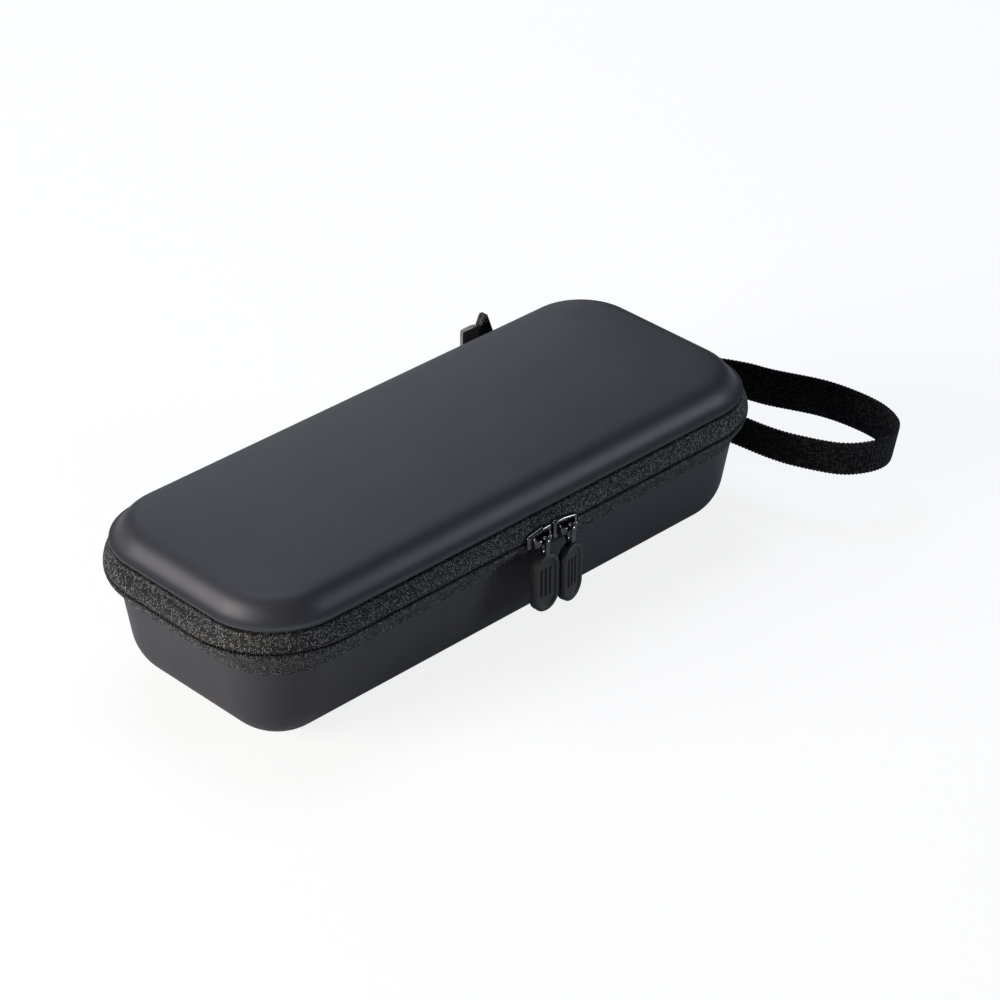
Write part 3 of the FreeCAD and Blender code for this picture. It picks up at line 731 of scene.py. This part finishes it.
def roundPolygon(points, radius, steps=6, most=2.2):  # most is the longest run taken off a side
    loop = []
    for k, corner in enumerate(points):
        corner = Vector(corner)
        back = (Vector(points[k - 1]) - corner).normalized()
        ahead = (Vector(points[(k + 1) % len(points)]) - corner).normalized()
        half = back.angle(ahead) / 2
        reach = min(radius / math.tan(half), most)
        size = reach * math.tan(half)
        inner = corner + (back + ahead).normalized() * (size / math.sin(half))
        first, last = corner + back * reach - inner, corner + ahead * reach - inner
        sweep = first.angle_signed(last)
        for s in range(steps + 1):
            angle = -sweep * s / steps
            spoke = Vector((first.x * math.cos(angle) - first.y * math.sin(angle),
                            first.x * math.sin(angle) + first.y * math.cos(angle)))
            loop.append(inner + spoke.normalized() * size)
    return loop


def platePiece(name, outline, steps):  # steps are (y, share of the outline) from back to front
    middle = sum(outline, Vector((0, 0))) / len(outline)
    rows = [[Vector((middle.x + (p.x - middle.x) * share, y, middle.y + (p.y - middle.y) * share))
             for p in outline] for y, share in steps]
    return skinRows(name, rows, caps=True)


def sweptRows(path, frames, sides=12, square=0.6):  # frames are (side, outward, half width, half thickness)
    rows, angles = [], roundAngles(sides)
    for point, (side, outward, wide, thick) in zip(path, frames):
        rows.append([point + side * wide * signedPower(math.cos(a), square)
                     + outward * thick * signedPower(math.sin(a), square) for a in angles])
    return rows


def sliderPieces(side, word):
    middle = slider["meet"] + side * (slider["length"] + slider["spread"]) / 2
    mouth, tailEnd = middle - side * slider["length"] / 2, middle + side * slider["length"] / 2
    neck = middle - side * slider["neck"]
    outerBack = -(frontZip + slider["clear"])
    outerFace = outerBack - slider["plate"]
    innerFace = -(frontZip - coil["setBack"] - coil["radius"] - coil["wire"] - slider["clear"])

    def shield(halfMouth, halfTail):
        points = [(mouth, halfMouth), (neck, halfMouth), (tailEnd, halfTail)]
        points += [(x, -half) for x, half in points[::-1]]
        points = [(x, zipHeight + rise) for x, rise in points]
        return roundPolygon(points[::-side], slider["round"])

    outer = platePiece(word + "OuterPlate", shield(slider["wide"] / 2, slider["tail"] / 2),
                       [(outerBack - depth, share) for depth, share in slider["outerSteps"]])
    innerOutline = shield(slider["innerHeight"] / 2, slider["tail"] / 2 - slider["innerTaper"])
    inner = platePiece(word + "InnerPlate", innerOutline,
                       [(innerFace + depth, share) for depth, share in slider["innerSteps"]])
    postStart, postRun = mouth + side * slider["postStart"], side * slider["postLength"]
    post = [Vector((postStart + postRun * t, zipHeight + slider["postHalf"] * s))
            for t, s in ((0, -1), (1, -1), (1, 1), (0, 1))]
    sink = slider["postSink"]
    stem = platePiece(word + "Post", post, [(outerBack - sink, 1), (innerFace + sink, 1)])
    body = joinPieces(word + "SliderBody", [outer, inner, stem])
    sharpen(body, 40)
    settle(body, blackNickel, word + "_slider", "slider_metal", word + "_slider_body")

    path, widths = [], []
    for k in range(arch["steps"] + 1):  # arched crown, waisted where the link hangs
        t = -1 + 2 * k / arch["steps"]
        x = middle + arch["half"] * math.copysign(1 - (1 - abs(t)) ** arch["bunch"], t)
        lift = (slider["bar"] + arch["rise"]) * (1 - abs(t) ** arch["square"]) ** arch["soft"]
        path.append(Vector((x, outerFace + arch["sink"] - lift, zipHeight)))
        flare = max(abs(t) * arch["flareRate"] - arch["flareStart"], 0) ** arch["flarePower"]
        widths.append(min(arch["waist"] + arch["flare"] * flare, arch["widest"]))
    frames = []
    for k, width in enumerate(widths):
        way = (path[min(k + 1, arch["steps"])] - path[max(k - 1, 0)]).normalized()
        frames.append((upward, way.cross(upward), width, arch["thick"]))
    crown = skinRows(word + "SliderCrown", sweptRows(path, frames), caps=True)
    settle(crown, blackNickel, word + "_slider", "slider_metal", word + "_slider_crown")
    linkPiece(middle, outerFace - slider["bar"], word)
    gripPiece(middle, outerFace - slider["bar"], word)


def stadiumRow(middle, heart, halfWidth, halfLength, y, steps=16):
    points = []
    straight = halfLength - halfWidth
    for end in (1, -1):
        for k in range(steps + 1):
            angle = math.pi * k / steps
            points.append(Vector((middle + end * halfWidth * math.cos(angle), y,
                                  heart + end * (straight + halfWidth * math.sin(angle)))))
    return points


pullLink = {"drop": 4.1, "eye": 1.375, "eyeThick": 0.36, "eyeHalf": 1.05, "eyeSteps": 48,
            "tangSink": 1.05, "tangWidth": 5.0, "tangLength": 8.4, "tangThick": 1.2}


def linkPiece(middle, barY, word):
    radius, straight = pullLink["eye"], pullLink["drop"]
    bend = math.pi * radius
    path, frames = [], []
    for k in range(pullLink["eyeSteps"]):
        place = k / pullLink["eyeSteps"] * 2 * (straight + bend)
        if place < bend:  # over the bar
            angle, z = place / radius, zipHeight
        elif place < bend + straight:
            angle, z = math.pi, zipHeight - (place - bend)
        elif place < 2 * bend + straight:
            angle, z = math.pi + (place - bend - straight) / radius, zipHeight - straight
        else:
            angle, z = 2 * math.pi, zipHeight - straight + place - 2 * bend - straight
        spoke = Vector((0, math.cos(angle), math.sin(angle)))
        path.append(Vector((middle, barY, z)) + spoke * radius)
        frames.append((Vector((1, 0, 0)), spoke, pullLink["eyeHalf"], pullLink["eyeThick"]))
    eye = skinRows(word + "Eye", sweptRows(path, frames), sectionClosed=True)
    half, tall = pullLink["tangWidth"] / 2, pullLink["tangLength"] / 2
    heart = zipHeight - straight - pullLink["tangSink"] - tall
    deep = pullLink["tangThick"] / 2
    tangRows = [stadiumRow(middle, heart, half, tall, barY + y) for y in (-deep, deep)]
    link = joinPieces(word + "PullLink", [eye, skinRows(word + "Tang", tangRows, caps=True)])
    sharpen(link, 45)
    settle(link, blackNickel, word + "_pull", "slider_metal", word + "_pull_link")


pullGrip = {"top": 4.7, "length": 22.9, "width": 12.0, "thick": 3.4, "border": 1.9, "waist": 0.12,
            "dish": [(-0.35, 0.55), (-0.1, 0.47), (0.0, 0.2), (0.2, 0.03), (0.5, 0.0)],  # (out, sink)
            "edge": [(-0.75, 0.0), (-0.32, 0.14), (-0.06, 0.5), (0.0, 0.95)],
            "ribs": 3, "ribWidth": 1.15, "ribLength": 11.0,
            "ribCurve": [(0.0, 0.65), (0.0, 0.25), (0.12, 0.12), (0.3, 0.08)],  # (inset, sink)
            "hang": {"left": 0.0, "right": 1.3}, "twist": {"left": 0.0, "right": 12.0}}


def gripPiece(middle, barY, word):
    half, tall, deep = pullGrip["width"] / 2, pullGrip["length"] / 2, pullGrip["thick"] / 2
    inner, innerTall, waist = half - pullGrip["border"], tall - pullGrip["border"], pullGrip["waist"]
    heartZ = zipHeight - pullGrip["top"] - pullGrip["hang"][word] - tall
    shape = [(inner + out, innerTall + out, sink - deep) for out, sink in pullGrip["dish"]]
    shape += [(half + out, tall + out, sink - deep) for out, sink in pullGrip["edge"]]
    rows = [stadiumRow(middle, heartZ, w, h, barY + y) for w, h, y in shape]
    rows += [stadiumRow(middle, heartZ, half - waist, tall - waist, barY)]
    rows += [stadiumRow(middle, heartZ, w, h, barY - y) for w, h, y in shape[::-1]]
    pieces = [skinRows(word + "GripBody", rows, caps=True)]
    ribHalf, ribTall = pullGrip["ribWidth"] / 2, pullGrip["ribLength"] / 2
    for k in range(pullGrip["ribs"]):
        x = middle - inner + 2 * inner / (pullGrip["ribs"] + 1) * (k + 1)
        for face in (-1, 1):
            ribRows = [stadiumRow(x, heartZ, ribHalf - inset, ribTall - inset, barY + face * (deep - sink))
                       for inset, sink in pullGrip["ribCurve"]]
            pieces.append(skinRows(word + "GripRib", ribRows, caps=True))
    grip = joinPieces(word + "PullGrip", pieces)
    heart = Matrix.Translation(Vector((middle, barY, heartZ)) * mm)
    turned = Matrix.Rotation(math.radians(pullGrip["twist"][word]), 4, "Z")  # a little askew on its link
    grip.data.transform(heart @ turned @ heart.inverted())
    sharpen(grip, 60)
    settle(grip, rubber, word + "_pull", "grip_rubber", word + "_pull_grip")


sliderPieces(-1, "left")
sliderPieces(1, "right")
print("sliders and pulls made")


# hand strap and its patch

strap = {
    "width": 15.0, "thick": 1.4, "low": 18.9, "rib": 1.5, "ribDepth": 0.28, "ribRound": 0.7, "scallop": 0.25,
    "lean": 9.0, "leanStart": 8.0, "leanRun": 30.0, "heart": (146.0, -38.0),
    "ribSteps": 8, "fine": 60, "reach": 5,
    "section": [(1, -0.8), (1, -0.4), (1, 0), (1, 0.4), (1, 0.8), (0.85, 0.97), (0, 1), (-0.85, 0.97),
                (-1, 0.8), (-1, 0.4), (-1, 0), (-1, -0.4), (-1, -0.8), (-0.85, -0.97), (0, -1),
                (0.85, -0.97)],
    "route": [(121.6, 10.6), (122.0, 0.0), (123.2, -15.0), (124.6, -30.0), (126.3, -44.5), (129.4, -55.5),
              (136.5, -69.8), (146.0, -76.6), (155.5, -77.6), (163.2, -72.2), (167.3, -59.0), (165.2, -38.5),
              (156.6, -18.0), (153.2, -7.5), (147.3, 3.6), (139.5, 8.8), (131.0, 10.5), (125.0, 10.7)],
}


def smoothLoop(points, steps):  # closed curve through the points
    loop = []
    count = len(points)
    for k in range(count):
        p0, p1, p2, p3 = (Vector(points[(k + s) % count]) for s in (-1, 0, 1, 2))
        for s in range(steps):
            t = s / steps
            loop.append(0.5 * (2 * p1 + (p2 - p0) * t + (2 * p0 - 5 * p1 + 4 * p2 - p3) * t * t
                               + (3 * p1 - p0 - 3 * p2 + p3) * t * t * t))
    return loop


def strapRows():
    loop = smoothLoop(strap["route"], strap["fine"])
    whole, reach = len(loop), strap["reach"]
    loop.append(loop[0])
    lengths = [0.0]
    for a, b in zip(loop, loop[1:]):
        lengths.append(lengths[-1] + (b - a).length)
    count = round(lengths[-1] / strap["rib"]) * strap["ribSteps"]
    rows, place = [], 0
    for k in range(count):
        want = lengths[-1] * k / count
        while lengths[place + 1] < want:
            place += 1
        share = (want - lengths[place]) / (lengths[place + 1] - lengths[place])
        spot = loop[place].lerp(loop[place + 1], share)
        along = (loop[(place + 1 + reach) % whole] - loop[(place - reach) % whole]).normalized()
        outward = Vector((along.y, -along.x))  # turned away from the middle of the loop
        outward = -outward if outward.dot(spot - Vector(strap["heart"])) < 0 else outward
        free = (math.dist(spot, strap["route"][0]) - strap["leanStart"]) / strap["leanRun"]
        tilt = math.radians(strap["lean"]) * min(1.0, max(0.0, free))
        swell = abs(math.sin(math.pi * k / strap["ribSteps"]))
        thick = strap["thick"] / 2 - strap["ribDepth"] * (1 - swell ** strap["ribRound"])
        rise = strap["width"] / 2 - strap["scallop"] * (1 - swell)
        up = Vector((outward.x * math.sin(tilt), outward.y * math.sin(tilt), math.cos(tilt)))
        face = Vector((outward.x * math.cos(tilt), outward.y * math.cos(tilt), -math.sin(tilt)))
        middle = Vector((spot.x, spot.y, strap["low"] + strap["width"] / 2))
        rows.append([middle + face * thick * u + up * rise * v for u, v in strap["section"]])
    return rows, lengths[-1]


rows, strapLength = strapRows()
wristStrap = skinRows("wristStrap", rows, sectionClosed=True)
settle(wristStrap, webbingWeave, "strap", "webbing", "wrist_strap")

patch = {"front": -2.0, "rear": 18.0, "low": 19.0, "high": 34.1, "corner": 2.0, "gap": 0.05, "thick": 1.2,
         "layers": [(0.0, 1.0), (0.7, 1.0), (1.05, 0.985), (1.2, 0.94)]}  # (out, share of the outline)
patchStitch = {"pitch": 1.7, "length": 1.25, "width": 0.4, "margin": 1.6}


def onWall(out, y, z):  # a place on the strap's end wall, which leans in towards the underside
    return Vector((case["halfLength"] + baseWall(-patch["gap"] - out, z), y, z))


def patchCorners(inset):
    front, rear = patch["front"] + inset, patch["rear"] - inset
    low, high = patch["low"] + inset, patch["high"] - inset
    return [(front, low), (front, high), (rear, high), (rear, low)]


patchOutline = roundPolygon(patchCorners(0.0), patch["corner"])
heart = Vector(((patch["front"] + patch["rear"]) / 2, (patch["low"] + patch["high"]) / 2))
patchRows = [[onWall(out, heart.x + (p.x - heart.x) * share, heart.y + (p.y - heart.y) * share)
              for p in patchOutline] for out, share in patch["layers"]]
anchor = skinRows("strapAnchor", patchRows, caps=True)
sharpen(anchor, 50)
settle(anchor, webbingWeave, "base", "webbing", "strap_anchor")
corners = [onWall(patch["thick"], y, z) for y, z in patchCorners(patchStitch["margin"])]
spots = []
for start, end in ((0, 1), (1, 2), (2, 3), (3, 0), (0, 2), (1, 3)):  # round the patch and across it
    run = corners[end] - corners[start]
    way = run.normalized()
    for k in range(int(run.length / patchStitch["pitch"])):
        spots.append((corners[start] + way * (patchStitch["pitch"] * (k + 0.5)), way, Vector((1, 0, 0))))
stitchRow("anchorStitches", "base", "webbing", spots, patchStitch)
print("hand strap made, loop of", round(strapLength), "mm")


# foam insert and lid pad

insert = {"depth": 4.95, "top": 35.3, "edge": 0.7, "edgeSoft": (0.25, 0.2),
          "recesses": [(-25.0, -18.5, 148.0, 29.0, 14.4, 14.0), (77.0, -17.5, 42.0, 31.0, 15.4, 14.0),
                       (-64.0, 18.5, 70.0, 29.0, 12.0, 14.0), (11.0, 18.5, 66.0, 29.0, 8.0, 18.0),
                       (75.0, 20.0, 46.0, 26.0, 8.0, 18.0)],  # (x, y, length, width, corner, floor)
          "recessFoot": [(1.6, 0.0), (0.5, 0.4), (0.0, 1.6)],  # (inset, up from the floor)
          "recessMouth": [(0.0, -1.0), (-0.3, -0.25), (-1.0, 0.3), (-1.0, 3.0)]}  # (inset, up from the top)


def roundedRow(middleX, middleY, halfX, halfY, corner, z, steps=10, flat=0.05):
    row = []
    corner = min(corner, halfX - flat, halfY - flat)
    for quarter, (sx, sy) in enumerate(((1, 1), (-1, 1), (-1, -1), (1, -1))):
        for k in range(steps + 1):
            angle = math.radians(90 * quarter + 90 * k / steps)
            row.append(Vector((middleX + sx * (halfX - corner) + corner * math.cos(angle),
                               middleY + sy * (halfY - corner) + corner * math.sin(angle), z)))
    return row


def foamPiece():
    top, (softIn, softDown) = insert["top"], insert["edgeSoft"]
    profile = baseProfile(insert["depth"], top - insert["edge"])
    wallIn = profile[-1][0]
    profile += [(wallIn - softIn, top - softDown), (wallIn - insert["edge"], top)]
    block = skinRows("foamInsert", flatRows(profile), caps=True)
    cutters = []
    for x, y, length, width, corner, floor in insert["recesses"]:
        curve = [(inset, floor + up) for inset, up in insert["recessFoot"]]
        curve += [(inset, top + up) for inset, up in insert["recessMouth"]]
        rows = [roundedRow(x, y, length / 2 - inset, width / 2 - inset, corner - inset, z)
                for inset, z in curve]
        cutters.append(skinRows("recessCutter", rows, caps=True))
    for cutter in cutters:
        cut = block.modifiers.new("recess", "BOOLEAN")
        cut.operation = "DIFFERENCE"
        cut.solver = "EXACT"
        cut.object = cutter
    seen = bpy.context.evaluated_depsgraph_get()
    mesh = bpy.data.meshes.new_from_object(block.evaluated_get(seen))
    block.modifiers.clear()
    block.data = mesh
    for cutter in cutters:
        bpy.data.objects.remove(cutter)
    return block


foamInsert = foamPiece()
sharpen(foamInsert, 35)
settle(foamInsert, foam, "base", "foam", "foam_insert")

pad = {"depth": 4.95, "foot": 51.8, "lift": 0.15, "dip": 1.5, "pitch": 15.0, "fade": 5.0, "curl": 1.2,
       "core": 1.3, "rings": 34}


def padPiece():
    under = []
    wallIn = wall - pad["depth"]
    run = case["halfWidth"] + wallIn - pad["core"]
    turn = 2 * math.pi / pad["pitch"]
    for k in range(pad["rings"] + 1):
        share = k / pad["rings"]
        fade = min(run * share / pad["fade"], 1)
        row = caseRow(wallIn - run * share, 0, 0)
        for point in row:
            bump = 0.5 - 0.5 * math.cos(turn * point.x) * math.cos(turn * point.y)
            point.z = pad["foot"] + pad["lift"] + (1 - fade) ** 2 * pad["curl"] + pad["dip"] * bump * fade
        under.append(row)
    return skinRows("lidPad", under[::-1] + lidInside(pad["depth"]), caps=True)


lidPad = padPiece()
settle(lidPad, foam, "lid", "foam", "lid_pad")
print("foam made")


# floor, light and camera

stage = {"floor": 0.72, "glow": 0.84, "lit": 0.2, "world": 0.08, "reach": 4000.0, "sink": 0.02}


def stageSet():
    places = [stage["reach"] * share for share in (-1, -0.5, 0, 0.5, 1)]
    rows = [[Vector((x, y, -stage["sink"])) for x in places] for y in places]
    floor = skinRows("studioFloor", rows, ringClosed=False)
    finish, nodes, links, shader = newFinish("paleFloor", (stage["floor"],) * 3, 0.9, 0.0, 0.0)
    path = nodes.new("ShaderNodeLightPath")
    lit = addNode(nodes, "ShaderNodeBsdfDiffuse", Color=(stage["lit"],) * 3 + (1,))
    glow = addNode(nodes, "ShaderNodeEmission", Color=(1, 1, 1, 1), Strength=stage["glow"])
    both = nodes.new("ShaderNodeAddShader")
    links.new(lit.outputs["BSDF"], both.inputs[0])
    links.new(glow.outputs["Emission"], both.inputs[1])
    pick = nodes.new("ShaderNodeMixShader")
    links.new(path.outputs["Is Camera Ray"], pick.inputs["Fac"])
    links.new(shader.outputs["BSDF"], pick.inputs[1])
    links.new(both.outputs["Shader"], pick.inputs[2])
    links.new(pick.outputs["Shader"], nodes["Material Output"].inputs["Surface"])
    floor.data.materials.append(finish)
    world = bpy.data.worlds.new("studioWorld")
    bpy.context.scene.world = world
    world.use_nodes = True
    nodes, links = world.node_tree.nodes, world.node_tree.links
    back = nodes["Background"]
    back.inputs["Color"].default_value = (1, 1, 1, 1)
    back.inputs["Strength"].default_value = stage["world"]
    white = addNode(nodes, "ShaderNodeBackground", Color=(1, 1, 1, 1), Strength=1.0)
    path = nodes.new("ShaderNodeLightPath")
    mix = nodes.new("ShaderNodeMixShader")
    links.new(path.outputs["Is Camera Ray"], mix.inputs["Fac"])
    links.new(back.outputs["Background"], mix.inputs[1])
    links.new(white.outputs["Background"], mix.inputs[2])
    links.new(mix.outputs["Shader"], nodes["World Output"].inputs["Surface"])


lamps = {
    "overhead": {"place": (0.25, 0.45, 1.4), "aim": (0.0, 0.0, 0.05), "size": (1.0, 0.8), "power": 7.7,
                 "colour": (0.76, 0.8, 1.0)},
    "leftSide": {"place": (-1.45, 0.42, 0.36), "aim": (0.0, 0.0, 0.04), "size": (1.2, 0.9), "power": 44.0,
                 "colour": (1.0, 0.97, 0.93)},
    "rearSide": {"place": (0.9, 1.3, 0.7), "aim": (0.0, 0.0, 0.05), "size": (0.8, 0.6), "power": 3.0,
                 "colour": (0.9, 0.93, 1.0)},
    "frontSide": {"place": (1.25, -1.3, 0.3), "aim": (0.0, -0.05, 0.03), "size": (0.5, 0.5), "power": 14.0,
                  "colour": (0.86, 0.9, 1.0)},
}


def lampSet():
    for name, look in lamps.items():
        light = bpy.data.lights.new(name, "AREA")
        light.shape = "RECTANGLE"
        light.size, light.size_y = look["size"]
        light.energy = look["power"]
        light.color = look["colour"]
        lamp = bpy.data.objects.new(name, light)
        lamp.location = look["place"]
        way = Vector(look["aim"]) - Vector(look["place"])
        lamp.rotation_euler = way.to_track_quat("-Z", "Y").to_euler()
        bpy.context.scene.collection.objects.link(lamp)


view = {"azimuth": -44.73, "elevation": 31.89, "roll": 0.55, "distance": 1250.1,
        "target": (17.67, -13.6, 40.0), "lens": 127.81, "sensor": 36.0, "shiftY": -0.013, "farthest": 20.0}


def cameraSet():
    lens = bpy.data.cameras.new("studioCamera")
    lens.sensor_width = view["sensor"]
    lens.lens = view["lens"]
    lens.shift_y = view["shiftY"]
    lens.clip_end = view["farthest"]
    camera = bpy.data.objects.new("studioCamera", lens)
    az, el = math.radians(view["azimuth"]), math.radians(view["elevation"])
    back = Vector((math.sin(az) * math.cos(el), -math.cos(az) * math.cos(el), math.sin(el)))
    camera.location = (Vector(view["target"]) + back * view["distance"]) * mm
    turn = (-back).to_track_quat("-Z", "Y") @ Quaternion((0, 0, 1), math.radians(view["roll"]))
    camera.rotation_euler = turn.to_euler()
    bpy.context.scene.collection.objects.link(camera)
    bpy.context.scene.camera = camera


stageSet()
lampSet()
cameraSet()
bpy.context.scene.view_settings.view_transform = "Standard"
print("stage set")
